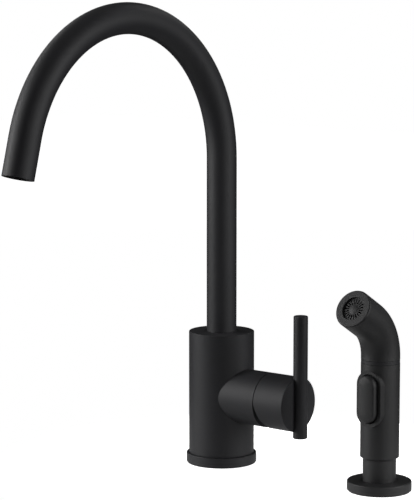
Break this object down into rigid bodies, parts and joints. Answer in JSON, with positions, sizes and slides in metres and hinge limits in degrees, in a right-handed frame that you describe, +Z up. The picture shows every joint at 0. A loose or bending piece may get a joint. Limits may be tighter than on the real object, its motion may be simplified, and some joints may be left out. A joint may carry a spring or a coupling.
{
  "type": "single-lever kitchen faucet with side spray",
  "caption": "Gooseneck kitchen faucet with a side lever on a cylindrical body, and a separate pull-out side spray in its own deck holder, all matte black.",
  "frame": {"origin": "centre of the faucet's base on the top of the deck", "axes": "+Z up; -Y along the spout; +X out along the valve and lever, towards the side spray"},
  "size_m": [0.206, 0.2667, 0.4427],
  "materials": {
    "matte_black_metal": "fine matte black powder coat",
    "matte_black_plastic": "satin moulded black",
    "black_rubber": "matte",
    "brass": "machined",
    "copper": "drawn tube",
    "stainless": "turned or cold drawn",
    "white_acetal": "moulded",
    "grey_acetal": "moulded",
    "white_ceramic": "lapped"
  },
  "bodies": {
    "fixed": {"base_gasket": "black_rubber", "base_ring": "matte_black_metal", "body_shell": "matte_black_metal", "waterway_core": "brass", "cartridge_cup": "brass", "cup_screws": "stainless", "mounting_shank": "brass", "deck_seal": "black_rubber", "deck_washer": "stainless", "mounting_nut": "brass", "hot_pipe": "copper", "cold_pipe": "copper", "spray_pipe": "copper", "port_seals": "black_rubber", "cartridge_base": "grey_acetal", "fixed_disc": "white_ceramic", "cartridge_housing": "grey_acetal", "retaining_nut": "brass", "bonnet": "matte_black_metal", "top_bush": "matte_black_plastic", "glide_washer": "white_acetal", "diverter_cage": "white_acetal", "diverter_seat": "white_acetal", "diverter_spring": "stainless", "holder_gasket": "black_rubber", "holder": "matte_black_plastic", "guide_bush": "matte_black_plastic", "holder_washer": "black_rubber", "holder_nut": "matte_black_plastic"},
    "spout": {"spout_tube": "matte_black_metal", "spout_adapter": "brass", "spout_o_rings": "black_rubber", "spout_clip": "stainless", "aerator_housing": "matte_black_plastic", "aerator_screen": "grey_acetal", "aerator_washer": "black_rubber"},
    "lever_carrier": {"turning_sleeve": "grey_acetal", "rocker_pin": "stainless"},
    "disc": {"moving_disc": "white_ceramic", "disc_carrier": "grey_acetal"},
    "lever": {"lever_stem": "stainless", "lever_hub": "matte_black_metal", "lever_rod": "matte_black_metal", "rod_dowels": "stainless", "set_screw": "stainless", "screw_plug": "black_rubber"},
    "diverter": {"diverter_plunger": "grey_acetal"},
    "hose_end": {"hose_coupling": "brass"},
    "spray": {"spray_neck": "matte_black_plastic", "spray_grip": "matte_black_plastic", "joint_ring": "matte_black_metal", "spray_head": "matte_black_plastic", "spray_core": "grey_acetal", "head_waterway": "grey_acetal", "spray_disc": "matte_black_plastic", "disc_screw": "matte_black_plastic", "trigger_pin": "stainless", "valve_spring": "stainless"},
    "trigger": {"trigger": "matte_black_plastic"},
    "valve": {"valve_plunger": "brass"}
  },
  "joints": [
    {"name": "spout_swivel", "type": "hinge", "parent": "fixed", "child": "spout", "pos_m": [0, 0, 0.0885], "axis": [0, 0, 1], "continuous": true},
    {"name": "lever_turn", "type": "hinge", "parent": "fixed", "child": "lever_carrier", "pos_m": [0.0366, 0, 0.0562], "axis": [1, 0, 0], "range_deg": [-45, 45]},
    {"name": "lever_tilt", "type": "hinge", "parent": "lever_carrier", "child": "lever", "pos_m": [0.042, 0, 0.0562], "axis": [0, 1, 0], "range_deg": [0, 15]},
    {"name": "disc_slide", "type": "slide", "parent": "lever_carrier", "child": "disc", "axis": [0, 0, 1], "range_m": [0, 0.00236]},
    {"name": "diverter_shift", "type": "slide", "parent": "fixed", "child": "diverter", "axis": [0, 0, 1], "range_m": [0, 0.002], "stiffness_N_per_m": 200, "springref_m": -0.002, "deforming": ["diverter_spring"]},
    {"name": "spray_lift", "type": "slide", "parent": "fixed", "child": "hose_end", "axis": [0, 0, 1], "range_m": [0, 0.06]},
    {"name": "spray_turn", "type": "hinge", "parent": "hose_end", "child": "spray", "pos_m": [0.153, 0.0023, 0], "axis": [0, 0, 1], "continuous": true},
    {"name": "trigger_press", "type": "hinge", "parent": "spray", "child": "trigger", "pos_m": [0.153, -0.0067, 0.084], "axis": [1, 0, 0], "range_deg": [0, 5], "stiffness_Nm_per_rad": 1.5, "springref_deg": -5.73},
    {"name": "valve_push", "type": "slide", "parent": "spray", "child": "valve", "axis": [0, 1, 0], "range_m": [0, 0.00192], "deforming": ["valve_spring"]}
  ],
  "couplings": [
    {"joint": "disc_slide", "follows": "lever_tilt", "m_per_rad": 0.009},
    {"joint": "valve_push", "follows": "trigger_press", "m_per_rad": 0.022}
  ]
}
